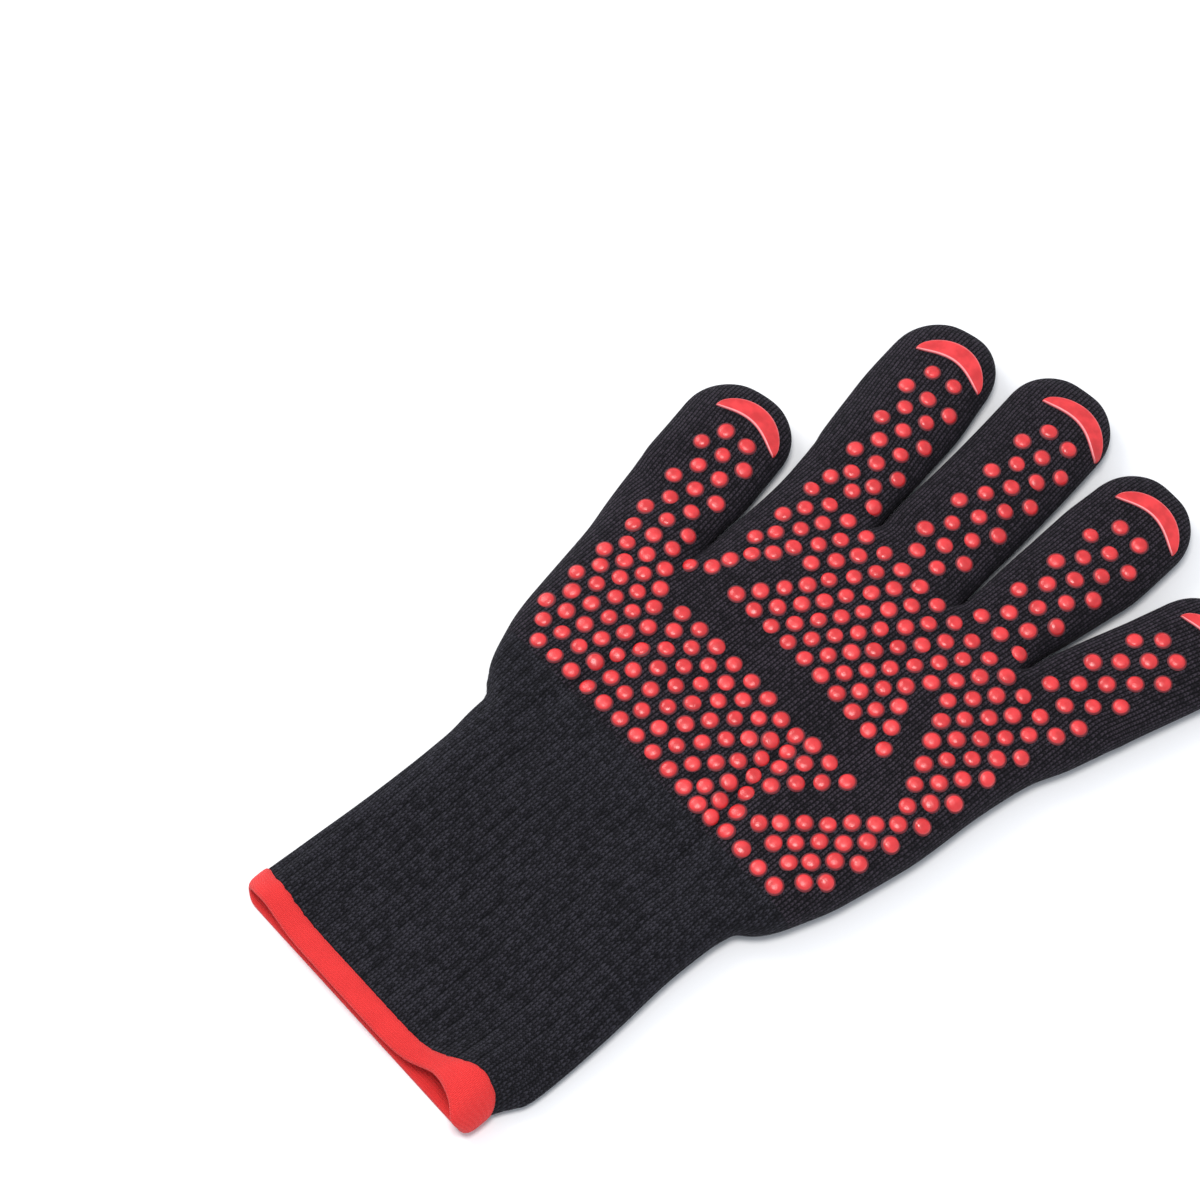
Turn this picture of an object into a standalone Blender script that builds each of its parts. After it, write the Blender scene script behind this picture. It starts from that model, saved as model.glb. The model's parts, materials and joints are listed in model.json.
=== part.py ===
"""Heat resistant glove: left hand, lying palm up. Metres, +Y to the fingertips, +Z out of the palm.

The outer knit, the cotton liner and the printed silicone are one node per bending segment. Every bending
line runs across the glove, parallel to X. The fingers fold about the palm side, the wrist about its middle.
"""
import math

import bpy
from mathutils import Vector
from mathutils.geometry import delaunay_2d_cdt

MM = 0.001
THICK = 14.0            # flat thickness of the glove, both faces and the air between
GAP = 0.3               # clearance between neighbouring pieces
SHELL_WALL = 1.6        # outer aramid knit
LINER_WALL = 1.2        # inner cotton knit
HEM_WALL = 3.1          # folded binding around the cuff's mouth
SHOULDER = 3.2          # how far the rounded side runs in from the outline
LEVELS = ((0.0, 1.0), (0.24, 0.16), (0.76, 0.16), (1.0, 1.0))  # height and side inset, as fractions

DOT_RADIUS = 2.75
DOT_SIDES = 6
DOT_PITCH = 8.1
PRINT_FILM = 0.3        # thin film that holds one segment's dots together
DOT_HEIGHT = 1.3        # from the underside of the film
PRINT_Z = THICK + GAP
FOLD_Z = PRINT_Z + DOT_HEIGHT + GAP   # fingers fold about a line just over the dots
CELL_X = 3.3            # film beside the last dot of a row, from the dot's centre
FINGER_BAND = 6.2       # film along the finger for one row of dots

WRIST_Y = -21.5
WRIST_Z = THICK / 2
WRIST_SLOPE = math.tan(math.radians(15))  # lets the wrist bend 30 degrees each way
MOUTH_Y = -117.0
HEM_Y = -126.0
KNUCKLE_Y = 108.8
THUMB_Y = 61.8

# Each finger: tilt in degrees (plus is to the right), length from the fold at its root, x on that fold,
# the root's left and right edges, half widths, folds along it, first dot row, row pitch and sideways shift.
FINGERS = {
    "index": dict(tilt=-12.3, length=80.8, x=-30.3, root=(-47.8, -14.9), half=(18.4, 19.3, 18.9),
                  folds=(32.85, 56.55), rows=8, first=5.2, pitch=7.9, odd=3, shift=3.5),
    "middle": dict(tilt=-5.5, length=93.8, x=6.0, root=(-14.3, 25.4), half=(18.4, 18.8, 18.8),
                   folds=(34.1, 58.9), rows=9, first=5.2, pitch=8.26, odd=2, shift=3.8),
    "ring": dict(tilt=0.5, length=86.2, x=41.4, root=(26.3, 56.4), half=(17.2, 18.7, 18.7),
                 folds=(33.2, 58.1), rows=8, first=4.2, pitch=8.3, odd=3, shift=3.5),
    "little": dict(tilt=15.0, length=69.0, x=74.2, root=(57.0, 93.3), half=(17.6, 18.0, 17.6),
                   folds=(25.8, 42.6), rows=6, first=6.2, pitch=8.2, odd=3, shift=0.8),
}
THUMB = dict(tilt=-12.9, length=56.7, x=-62.4, root=(-82.4, -44.6), half=(20.0, 20.3, 19.6),
             folds=(25.0,), rows=5, first=5.0, pitch=8.0, odd=2, shift=2.5)
SHOULDER_S = 16.0       # where a finger has left its neighbours and reached its width
TIP_RUN = 17.0          # length of the rounded fingertip
TIP_STEPS = 8
CRESCENT_BACK = 6.0     # from the crescent's outer edge to the fingertip's end
CRESCENT_HALF = 14.0
CRESCENT_RISE = 11.0
CRESCENT_HOLLOW = 4.0
CRESCENT_THICK = 0.9
CRESCENT_STEPS = 10

# Palm outline, counter-clockwise from the little finger side of the wrist.
PALM_RIGHT = ((62.5, WRIST_Y), (71.0, -12.0), (75.5, -3.0), (78.7, 17.0), (82.0, 40.0), (83.0, 58.0),
              (84.5, 73.0), (86.7, 85.0), (90.5, 96.0), (93.5, KNUCKLE_Y))
PALM_UPPER_LEFT = ((-47.8, KNUCKLE_Y), (-45.5, 85.0), (-41.9, 58.0), (-43.6, 58.0), (-44.6, THUMB_Y))
PALM_LOWER_LEFT = ((-82.4, THUMB_Y), (-76.5, 38.0), (-71.0, 17.0), (-65.5, -3.0), (-62.0, -13.0),
                   (-55.0, WRIST_Y))
CUFF = ((-49.5, MOUTH_Y), (61.5, MOUTH_Y), (62.0, WRIST_Y), (-46.5, WRIST_Y))

# Printed fields of the palm: y of the first row, step to the next, and each row's centre x and dot count.
FIELDS = {
    "upper_palm_dots": (104.5, 6.86, ((23.4, 16), (22.5, 15), (22.9, 15), (22.1, 14), (14.2, 7),
                                      (14.1, 8), (13.9, 9), (13.8, 10))),
    "heel_dots": (39.5, 6.8, ((10.5, 11), (9.7, 10), (8.8, 9), (8.7, 8), (8.9, 7), (8.6, 8))),
    "wrist_row_dots": (-2.7, 6.2, ((4.4, 15),)),
    "thumb_side_dots": (56.9, 6.6, ((-58.6, 3), (-57.6, 3), (-53.0, 3), (-52.3, 4), (-48.6, 4),
                                    (-47.8, 5), (-43.7, 5), (-44.6, 5), (-42.8, 5))),
    "thumb_web_dots": (76.6, 6.86, ((-30.5, 2), (-32.0, 1), (-34.0, 1), (-36.0, 1))),
    "outer_edge_dots": (74.5, 6.38, ((66.9, 4), (66.2, 3), (70.0, 3), (69.4, 2), (73.2, 2), (72.0, 1),
                                     (71.7, 2), (66.0, 2), (65.4, 3), (60.0, 3), (59.1, 4), (55.9, 4))),
}

KNIT_COLOUR = (0.018, 0.018, 0.024, 1.0)
RIB_COLOUR = (0.022, 0.022, 0.030, 1.0)
LINER_COLOUR = (0.62, 0.60, 0.55, 1.0)
SILICONE_COLOUR = (0.80, 0.035, 0.045, 1.0)
HEM_COLOUR = (0.68, 0.012, 0.020, 1.0)


def clear_scene():
    for obj in list(bpy.data.objects):
        bpy.data.objects.remove(obj, do_unlink=True)


def material(name, colour, roughness):
    mat = bpy.data.materials.new(name)
    mat.use_nodes = True
    shader = mat.node_tree.nodes["Principled BSDF"]
    shader.inputs["Base Color"].default_value = colour
    shader.inputs["Roughness"].default_value = roughness
    mat.diffuse_color = colour
    return mat


def offset_outline(points, insets):
    """Moves each edge of a counter-clockwise outline inwards by its own distance."""
    count = len(points)
    lines = []
    for i in range(count):
        start = Vector(points[i])
        along = (Vector(points[(i + 1) % count]) - start).normalized()
        inward = Vector((-along.y, along.x))
        lines.append((start + inward * insets[i], along))
    moved = []
    for i in range(count):
        first, u = lines[i - 1]
        second, v = lines[i]
        cross = u.x * v.y - u.y * v.x
        if abs(cross) < 0.02:
            moved.append((first + u * (second - first).dot(u)).lerp(second, 0.5))
            continue
        between = second - first
        moved.append(first + u * ((between.x * v.y - between.y * v.x) / cross))
    return moved


def fold_inset(y, z):
    """How far an open end stands back from its fold: a V at the wrist, straight elsewhere."""
    if abs(y - WRIST_Y) < 0.01:
        return GAP + abs(z - WRIST_Z) * WRIST_SLOPE
    return GAP


def rings(points, openings, inset):
    """The outline at each level of a flat tube, drawn in all round by inset."""
    found = []
    for height, side in LEVELS:
        z = inset + height * (THICK - 2 * inset)
        distances = []
        for i, (_, y) in enumerate(points):
            if i in openings:
                distances.append(fold_inset(y, z))
            else:
                distances.append(inset + side * (SHOULDER - 0.5 * inset))
        found.append([(p.x, p.y, z) for p in offset_outline(points, distances)])
    return found


def wall_faces(levels, count, openings, base, flip):
    faces = []
    for k in range(levels - 1):
        for i in range(count):
            if i in openings:
                continue
            j = (i + 1) % count
            low = base + k * count
            faces.append([low + i, low + j, low + count + j, low + count + i])
    faces.append([base + i for i in reversed(range(count))])
    faces.append([base + (levels - 1) * count + i for i in range(count)])
    return [face[::-1] for face in faces] if flip else faces


def end_faces(levels, count, openings, inner):
    """Closes the wall's thickness around each open end."""
    faces = []
    for i in openings:
        j = (i + 1) % count
        loop = [k * count + i for k in range(levels)]
        loop += [k * count + j for k in reversed(range(levels))]
        for a, b in zip(loop, loop[1:] + loop[:1]):
            faces.append([b, a, inner + a, inner + b])
    return faces


def tube_mesh(points, openings, outer_inset, wall):
    outer = rings(points, openings, outer_inset)
    inner = rings(points, openings, outer_inset + wall)
    count = len(points)
    levels = len(LEVELS)
    inner_base = levels * count
    vertices = [p for ring in outer + inner for p in ring]
    faces = wall_faces(levels, count, openings, 0, False)
    faces += wall_faces(levels, count, openings, inner_base, True)
    faces += end_faces(levels, count, openings, inner_base)
    return vertices, faces


def plate_mesh(outline, low, high):
    count = len(outline)
    vertices = [(x, y, low) for x, y in outline] + [(x, y, high) for x, y in outline]
    faces = [list(reversed(range(count))), list(range(count, 2 * count))]
    for i in range(count):
        j = (i + 1) % count
        faces.append([i, j, count + j, count + i])
    return vertices, faces


def hexagon(centre, turn):
    corners = []
    for k in range(DOT_SIDES):
        angle = turn + 2 * math.pi * k / DOT_SIDES
        corners.append(Vector((centre[0] + DOT_RADIUS * math.cos(angle),
                               centre[1] + DOT_RADIUS * math.sin(angle))))
    return corners


def inside(point, corners):
    for a, b in zip(corners, corners[1:] + corners[:1]):
        if (b.x - a.x) * (point.y - a.y) - (b.y - a.y) * (point.x - a.x) < 0:
            return False
    return True


def print_mesh(outline, centres, turn):
    """A thin film over the outline with a raised dot at each centre, as one body."""
    dots = [hexagon(c, turn) for c in centres]
    loops = [[Vector(p) for p in outline]] + dots
    flat = []
    constraints = []
    for loop in loops:
        constraints.append(list(range(len(flat), len(flat) + len(loop))))
        flat += loop
    points, _, triangles, _, _, _ = delaunay_2d_cdt(flat, [], constraints, 1, 1e-5)
    top = PRINT_Z + PRINT_FILM
    levels = (PRINT_Z, top, PRINT_Z + DOT_HEIGHT)
    index = {}
    vertices = []

    def vertex(i, level):
        if (i, level) not in index:
            index[i, level] = len(vertices)
            vertices.append((points[i].x, points[i].y, levels[level]))
        return index[i, level]

    faces = []
    sides = {}
    for a, b, c in triangles:
        middle = (points[a] + points[b] + points[c]) / 3
        raised = any(inside(middle, dot) for dot in dots)
        level = 2 if raised else 1
        faces.append([vertex(a, level), vertex(b, level), vertex(c, level)])
        faces.append([vertex(c, 0), vertex(b, 0), vertex(a, 0)])
        for u, v in ((a, b), (b, c), (c, a)):
            sides[u, v] = level
    for (u, v), level in sides.items():
        other = sides.get((v, u), 0)
        if other < level:
            faces.append([vertex(v, level), vertex(u, level), vertex(u, other), vertex(v, other)])
    return vertices, faces


def staircase(rows, step):
    """Outline round rows listed as (first x, last x, y), from the top row down."""
    left = []
    right = []
    for first, last, y in rows:
        left += [(first - CELL_X, y + step / 2), (first - CELL_X, y - step / 2)]
        right += [(last + CELL_X, y + step / 2), (last + CELL_X, y - step / 2)]
    return left + right[::-1]


def row_centres(rows):
    centres = []
    for first, last, y in rows:
        count = round((last - first) / DOT_PITCH) + 1
        for k in range(count):
            centres.append((first + k * DOT_PITCH, y))
    return centres


def place(spec, root_y):
    """Turns (across, along) of a finger into the glove's x and y."""
    tilt = math.radians(spec["tilt"])
    along = (math.sin(tilt), math.cos(tilt))

    def to_world(across, distance):
        return (spec["x"] + across * along[1] + distance * along[0],
                root_y - across * along[0] + distance * along[1])

    return to_world


def finger_outlines(spec, root_y):
    """One (outline, open edges) for each segment of a finger, from its root."""
    to_world = place(spec, root_y)
    shoulder, middle, tip = spec["half"]
    cuts = spec["folds"]
    half_at = [middle] * len(cuts)
    parts = []
    left, right = spec["root"]
    first = [(left, root_y), (right, root_y), to_world(shoulder, SHOULDER_S), to_world(middle, cuts[0]),
             to_world(-middle, cuts[0]), to_world(-shoulder, SHOULDER_S)]
    parts.append((first, (0, 3)))
    for low, high in zip(cuts, cuts[1:]):
        half = half_at[0]
        parts.append(([to_world(-half, low), to_world(half, low), to_world(half, high),
                       to_world(-half, high)], (0, 2)))
    last = [to_world(-half_at[-1], cuts[-1]), to_world(half_at[-1], cuts[-1])]
    centre = spec["length"] - TIP_RUN
    for k in range(TIP_STEPS + 1):
        angle = math.pi * k / TIP_STEPS
        last.append(to_world(tip * math.cos(angle), centre + TIP_RUN * math.sin(angle)))
    parts.append((last, (0,)))
    return parts


def finger_dots(spec, root_y):
    """One list of (rows, centres) for each segment. Rows alternate between three dots and two."""
    edges = (0.0,) + tuple(spec["folds"]) + (spec["length"],)
    to_world = place(spec, root_y)
    found = []
    for low, high in zip(edges, edges[1:]):
        rows = []
        for k in range(spec["rows"]):
            along = spec["first"] + k * spec["pitch"]
            count = spec["odd"] if k % 2 == 0 else 5 - spec["odd"]
            reach = (count - 1) * DOT_PITCH / 2
            if low < along < high:
                rows.append((spec["shift"] - reach, spec["shift"] + reach, along))
        rows.reverse()
        outline = [to_world(*p) for p in staircase(rows, FINGER_BAND)]
        found.append((rows, outline, [to_world(*c) for c in row_centres(rows)]))
    return found


def crescent_outline(spec, root_y):
    to_world = place(spec, root_y)
    base = spec["length"] - CRESCENT_BACK - CRESCENT_RISE
    outline = []
    for k in range(CRESCENT_STEPS + 1):
        angle = math.pi * k / CRESCENT_STEPS
        outline.append(to_world(CRESCENT_HALF * math.cos(angle), base + CRESCENT_RISE * math.sin(angle)))
    for k in reversed(range(1, CRESCENT_STEPS)):
        angle = math.pi * k / CRESCENT_STEPS
        outline.append(to_world((CRESCENT_HALF - 0.8) * math.cos(angle),
                                base + CRESCENT_HOLLOW * math.sin(angle)))
    return outline


class Glove:
    def __init__(self):
        self.parts = bpy.data.collections.new("heat_resistant_glove")
        bpy.context.scene.collection.children.link(self.parts)
        self.pivots = {}

    def body(self, name, pivot, parent=None):
        """An empty on the body's joint axis, which its nodes hang from."""
        empty = bpy.data.objects.new("axis_" + name, None)
        empty.empty_display_size = 0.01
        self.parts.objects.link(empty)
        origin = self.pivots[parent][1] if parent else Vector((0, 0, 0))
        empty.location = (Vector(pivot) - origin) * MM
        if parent:
            empty.parent = self.pivots[parent][0]
        self.pivots[name] = (empty, Vector(pivot))

    def add(self, name, body, mesh_data, colour, roughness):
        vertices, faces = mesh_data
        empty, pivot = self.pivots[body]
        mesh = bpy.data.meshes.new(name)
        mesh.from_pydata([(Vector(v) - pivot) * MM for v in vertices], [], faces)
        mesh.validate()
        mesh.materials.append(material(name + "_material", colour, roughness))
        obj = bpy.data.objects.new(name, mesh)
        obj.parent = empty
        self.parts.objects.link(obj)

    def knit(self, name, body, points, openings):
        """The outer knit and the liner inside it, for one segment."""
        self.add(name + "_shell", body, tube_mesh(points, openings, 0.0, SHELL_WALL), KNIT_COLOUR, 0.9)
        self.add(name + "_liner", body, tube_mesh(points, openings, SHELL_WALL + GAP, LINER_WALL),
                 LINER_COLOUR, 0.95)

    def printed(self, name, body, outline, centres, turn):
        self.add(name, body, print_mesh(outline, centres, turn), SILICONE_COLOUR, 0.3)


def add_palm(glove):
    points = list(PALM_RIGHT) + list(PALM_UPPER_LEFT) + list(PALM_LOWER_LEFT)
    knuckle_edge = len(PALM_RIGHT) - 1
    thumb_edge = knuckle_edge + len(PALM_UPPER_LEFT)
    wrist_edge = len(points) - 1
    glove.knit("palm", "palm", points, (knuckle_edge, thumb_edge, wrist_edge))
    for name, (y, step, rows) in FIELDS.items():
        placed = []
        for k, (centre, count) in enumerate(rows):
            reach = (count - 1) * DOT_PITCH / 2
            placed.append((centre - reach, centre + reach, y - k * step))
        glove.printed(name, "palm", staircase(placed, step), row_centres(placed), math.pi / 6)


def add_cuff(glove):
    glove.body("cuff", (7.5, WRIST_Y, WRIST_Z), "palm")
    glove.knit("cuff", "cuff", CUFF, (0, 2))
    hem = ((CUFF[0][0] - 0.3, HEM_Y), (CUFF[1][0] + 0.3, HEM_Y), (CUFF[1][0] + 0.3, MOUTH_Y),
           (CUFF[0][0] - 0.3, MOUTH_Y))
    glove.add("hem_binding", "cuff", tube_mesh(hem, (0, 2), 0.0, HEM_WALL), HEM_COLOUR, 0.8)


def add_finger(glove, name, spec, root_y, segments):
    outlines = finger_outlines(spec, root_y)
    prints = finger_dots(spec, root_y)
    to_world = place(spec, root_y)
    parent = "palm"
    starts = (0.0,) + tuple(spec["folds"])
    for segment, start, (points, openings), (_, outline, centres) in zip(segments, starts, outlines, prints):
        body = name + "_" + segment
        x, y = to_world(0.0, start)
        glove.body(body, (x, y, FOLD_Z), parent)
        glove.knit(body, body, points, openings)
        glove.printed(body + "_dots", body, outline, centres, math.pi / 6 - math.radians(spec["tilt"]))
        parent = body
    glove.add(name + "_crescent", parent,
              plate_mesh(crescent_outline(spec, root_y), PRINT_Z, PRINT_Z + CRESCENT_THICK),
              SILICONE_COLOUR, 0.3)


clear_scene()
bpy.context.scene.unit_settings.system = "METRIC"
bpy.context.scene.unit_settings.scale_length = 1.0
GLOVE = Glove()
GLOVE.body("palm", (0.0, 0.0, 0.0))
add_palm(GLOVE)
add_cuff(GLOVE)
for finger, finger_spec in FINGERS.items():
    add_finger(GLOVE, finger, finger_spec, KNUCKLE_Y, ("base", "middle", "tip"))
add_finger(GLOVE, "thumb", THUMB, THUMB_Y, ("base", "tip"))
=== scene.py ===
import json
import math

import bpy
import numpy as np
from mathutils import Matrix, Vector
from mathutils.bvhtree import BVHTree


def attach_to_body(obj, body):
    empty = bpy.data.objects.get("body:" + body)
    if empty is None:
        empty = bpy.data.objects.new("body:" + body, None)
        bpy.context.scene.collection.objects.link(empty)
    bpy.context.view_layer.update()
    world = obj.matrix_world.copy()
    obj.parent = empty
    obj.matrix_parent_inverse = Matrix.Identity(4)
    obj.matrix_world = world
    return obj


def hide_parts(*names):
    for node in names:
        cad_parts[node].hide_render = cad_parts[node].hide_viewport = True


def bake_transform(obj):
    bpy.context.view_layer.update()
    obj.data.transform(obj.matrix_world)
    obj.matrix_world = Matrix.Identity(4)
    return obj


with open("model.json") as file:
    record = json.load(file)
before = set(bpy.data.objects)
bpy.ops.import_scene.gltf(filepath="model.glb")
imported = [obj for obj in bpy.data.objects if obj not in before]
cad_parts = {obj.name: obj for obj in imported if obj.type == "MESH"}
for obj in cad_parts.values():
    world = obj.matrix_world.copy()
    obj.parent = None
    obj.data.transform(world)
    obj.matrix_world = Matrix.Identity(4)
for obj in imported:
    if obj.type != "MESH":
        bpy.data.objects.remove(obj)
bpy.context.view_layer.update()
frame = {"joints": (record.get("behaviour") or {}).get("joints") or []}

# A left-hand heat resistant glove, palm up. The shape is worked out in millimetres and built in metres.
MM = 0.001
CELLS = 12              # cage cells across one finger, each face
HALF = 7.0              # half the glove's flat thickness
MOUTH_Y = -119.4
CUFF_Y = -21.5
CROTCH_Y = 64.0
WEB_Y = 112.0

# The plan: (y, x) points of the outer edges and of the lines between the fingers, from the thumb side on.
# The edges' points were adjusted against edges measured in the photograph.
LEFT_EDGE = ((-126, -50.2), (-117, -49.7), (-100, -49.1), (-75, -48.2), (-60, -48.0), (-45, -48.2),
             (-33, -49.8), (-28, -50.4), (-24, -54.0), (-20, -57.6), (-15, -60.7), (-9, -63.4), (-3, -66.0),
             (5, -68.4), (17, -71.0), (38, -75.7), (48, -78.9), (58, -81.8), (64, -83.4))
THUMB_LINE = ((-126, -30), (-22, -27), (20, -34), (64, -44.6))
UPPER_LEFT = ((64, -44.6), (72, -45.0), (82, -45.6), (90, -46.1), (98, -47.0), (112, -49.8))
INDEX_LINE = ((-126, -8), (-22, -7), (58, -10.5), (112, -12.9))
MIDDLE_LINE = ((-126, 16), (-22, 17), (58, 24), (112, 26))
RING_LINE = ((-126, 39), (-22, 40), (58, 53), (112, 56.7))
RIGHT_EDGE = ((-126, 55.0), (-119, 57.2), (-113, 60.4), (-105, 62.6), (-90, 62.8), (-75, 62.5),
              (-60, 61.4), (-45, 60.8), (-30, 61.1), (-25, 61.7), (-21, 62.9), (-18, 66.0),
              (-15, 68.5), (-12, 70.2), (-9, 71.6), (-3, 73.7), (8, 77.2), (16, 78.7), (24, 80.1),
              (40, 82.4), (61, 83.5), (73, 84.7), (85, 86.7), (95, 90.4), (104, 92.8), (112, 94.8))

# Fingers: the root on the web line, the end point, half the width, how far the axis bows to the right, and
# the share of the width lost towards the tip.
FINGERS = (
    dict(name="thumb", root=(-63.5, 64.0), end=(-75.6, 116.7), half=20.3, bow=0.2, taper=0.0),
    dict(name="index", root=(-29.0, 112.0), end=(-47.5, 187.0), half=20.0, bow=-1.0, taper=0.06),
    dict(name="middle", root=(5.7, 112.0), end=(-5.2, 200.7), half=19.4, bow=1.3, taper=0.0),
    dict(name="ring", root=(41.4, 112.0), end=(42.0, 194.0), half=19.7, bow=0.9, taper=0.05),
    dict(name="little", root=(75.4, 112.0), end=(91.8, 175.2), half=18.5, bow=0.2, taper=0.0),
)
TIP_RUN = 17.5          # length of the rounded fingertip
TIP_LAST = math.radians(78)
RIB = 5.0               # pitch of the cuff's ribs
RIB_SHIFT = 1.2
HAND = 5                # the kind of the faces of palm and cuff, after the five fingers' 0 to 4

# Where each finger's first bend starts and ends, in y.
KNUCKLE_SPREAD = {"thumb": (64.3, 78.0), "index": (112.2, 127.0), "middle": (112.2, 128.0),
                  "ring": (112.2, 127.0), "little": (112.2, 122.5)}


def monotone(points):
    """A smooth curve through the points that never overshoots them."""
    xs = np.array([p[0] for p in points], float)
    ys = np.array([p[1] for p in points], float)
    slopes = np.diff(ys) / np.diff(xs)
    tangents = np.zeros(len(xs))
    tangents[0], tangents[-1] = slopes[0], slopes[-1]
    for i in range(1, len(xs) - 1):
        if slopes[i - 1] * slopes[i] > 0:
            tangents[i] = 2 * slopes[i - 1] * slopes[i] / (slopes[i - 1] + slopes[i])

    def value(at):
        at = np.clip(np.asarray(at, float), xs[0], xs[-1])
        k = np.clip(np.searchsorted(xs, at) - 1, 0, len(xs) - 2)
        h = xs[k + 1] - xs[k]
        t = (at - xs[k]) / h
        return ((2 * t**3 - 3 * t**2 + 1) * ys[k] + (t**3 - 2 * t**2 + t) * h * tangents[k]
                + (3 * t**2 - 2 * t**3) * ys[k + 1] + (t**3 - t**2) * h * tangents[k + 1])

    return value


def smooth(low, high, x):
    t = np.clip((np.asarray(x, float) - low) / (high - low), 0, 1)
    return t * t * (3 - 2 * t)


def rounded(a, power=2.5):
    """Height of a rounded section at a, from -1 at one side to 1 at the other."""
    return (1 - np.clip(np.abs(a), 0, 1) ** power) ** (1 / power)


left_edge, right_edge = monotone(LEFT_EDGE), monotone(RIGHT_EDGE)
thumb_line, upper_left = monotone(THUMB_LINE), monotone(UPPER_LEFT)
index_line, middle_line, ring_line = monotone(INDEX_LINE), monotone(MIDDLE_LINE), monotone(RING_LINE)
ACROSS = np.sin(np.linspace(-math.pi / 2, math.pi / 2, CELLS + 1))


def crease(y, line_y, reach):
    """How far a crease between two fingers has opened at y, from 0 in the palm to 1 at its end."""
    return smooth(line_y - reach, line_y, y) ** 2.2


def palm_lines(y):
    """x of the group boundaries at y, and how creased each one is."""
    if y <= CROTCH_Y:
        xs = [left_edge(y), thumb_line(y), index_line(y), middle_line(y), ring_line(y), right_edge(y)]
        creased = [smooth(34, 64, y), crease(y, CROTCH_Y, 18), 0, 0, 0, 0]
    else:
        xs = [upper_left(y), index_line(y), middle_line(y), ring_line(y), right_edge(y)]
        web = crease(y, WEB_Y, 11)
        creased = [1, web, web, web, smooth(80, 112, y)]
    return [float(x) for x in xs], [float(c) for c in creased]


def cuff_height(x, y):
    """Top of the cuff: flatter towards the mouth, with the lifted lip on the little finger side."""
    towards = smooth(-30, -117, y)
    base = 13.0 * (1 - towards) + 7.2 * towards
    lift = 5.2 * np.exp(-(((x - 46) / 12.0) ** 2)) * smooth(-80, -120, y)
    left = 2.4 * np.exp(-(((x + 40) / 10) ** 2)) * smooth(-90, -122, y)
    return base + lift + left


def mouth_shaped(points):
    """Pulls the lifted lip back, rounds both ends of the mouth and closes it before its right corner."""
    x, y, z = points.T
    near = smooth(-84, -119, y)
    front = smooth(MOUTH_Y, MOUTH_Y - 7, y)
    pulled = 7.6 * np.exp(-(((x - 48) / 12.5) ** 2)) * (1 - front)
    pulled = pulled + 4.2 * np.exp(-(((x - 38) / 11) ** 2)) * front
    pulled *= smooth(2.0, 9.5, z)
    pulled += 1.5 * np.exp(-(((x + 42) / 11) ** 2)) * smooth(3.0, 7.5, z)
    pulled -= 2.3 * np.exp(-(((x - 53) / 3.6) ** 2)) * front * smooth(1.0, 4.5, z)
    corners = 3.2 * smooth(-43, -52, x) ** 1.6 + 2.2 * smooth(52, 61, x)
    slant = 0.022 * (x + 40)
    shaped = points.copy()
    shaped[:, 1] += near * (pulled + corners + slant)
    return shaped


def palm_row(y):
    """Top and bottom points of one straight row, all groups together."""
    xs, creased = palm_lines(y)
    groups = len(xs) - 1
    across = []
    for g in range(groups):
        part = xs[g] + (xs[g + 1] - xs[g]) * (ACROSS + 1) / 2
        across.append(part if g == groups - 1 else part[:-1])
    x = np.concatenate(across)
    side = np.minimum(x - xs[0], xs[-1] - x)
    reach = 10.0 if y > CUFF_Y else 12.0
    flat = rounded(1 - np.clip(side / reach, 0, 1), 2.3)
    shape = []
    for g in range(groups):
        own = rounded(ACROSS)
        weight = np.where(ACROSS < 0, creased[g], creased[g + 1])
        section = flat[g * CELLS:g * CELLS + CELLS + 1] * (1 - weight) + own * weight
        shape.append(section if g == groups - 1 else section[:-1])
    shape = np.concatenate(shape)
    puff = 0.9 * smooth(-20, 5, y) * (1 - smooth(85, 112, y))
    height = HALF * 2 + puff * np.clip(side / 40, 0, 1)
    if y < -8:
        mix = smooth(-8, -30, y)
        height = height * (1 - mix) + cuff_height(x, y) * mix
    middle = height * 0.46
    top = middle + (height - middle) * shape
    bottom = middle * (1 - rounded(1 - np.clip(side / 5.5, 0, 1), 3.2)
                       * np.where(shape < 0.999, 0.35 + 0.65 * shape, 1.0))
    return (np.column_stack([x, np.full_like(x, y), top]), np.column_stack([x, np.full_like(x, y), bottom]))


def finger_frame(spec):
    root, end = np.array(spec["root"]), np.array(spec["end"])
    length = np.linalg.norm(end - root)
    along = (end - root) / length
    return root, along, np.array([along[1], -along[0]]), length


CONTACT_TURN = {"index": 0.02}      # slope by which the index finger lies over onto its neighbour
THUMB_CONTACT = (-0.07, 1.0)        # direction of the thumb's inner side where it leaves the palm
CONTACT_GAP = 0.12


def contact_lines():
    """Where neighbouring fingers press together: a point on the line between them, and the line's normal."""
    webs = [index_line(WEB_Y), middle_line(WEB_Y), ring_line(WEB_Y)]
    lines = {}
    for k, x in enumerate(webs):
        low, high = FINGERS[k + 1], FINGERS[k + 2]
        between = finger_frame(low)[1] + finger_frame(high)[1]
        between /= np.linalg.norm(between)
        between = between + CONTACT_TURN.get(low["name"], 0.0) * np.array([between[1], -between[0]])
        line = (np.array([float(x), WEB_Y]), np.array([between[1], -between[0]]))
        lines[low["name"], 1] = line
        lines[high["name"], -1] = line
    thumb_side = np.array(THUMB_CONTACT) / math.hypot(*THUMB_CONTACT)
    lines["thumb", 1] = (np.array([THUMB_LINE[-1][1], CROTCH_Y]), np.array([thumb_side[1], -thumb_side[0]]))
    return lines


CONTACTS = contact_lines()


def reach_of(spec, side, centre, right, half):
    """Half width on one side of a row, cut short where the finger would run into its neighbour."""
    line = CONTACTS.get((spec["name"], side))
    if line is None:
        return half
    point, normal = line
    past = ((centre + right * side * half - point) @ normal) * side + CONTACT_GAP
    return half - max(0.0, past) / (right @ normal)


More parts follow.
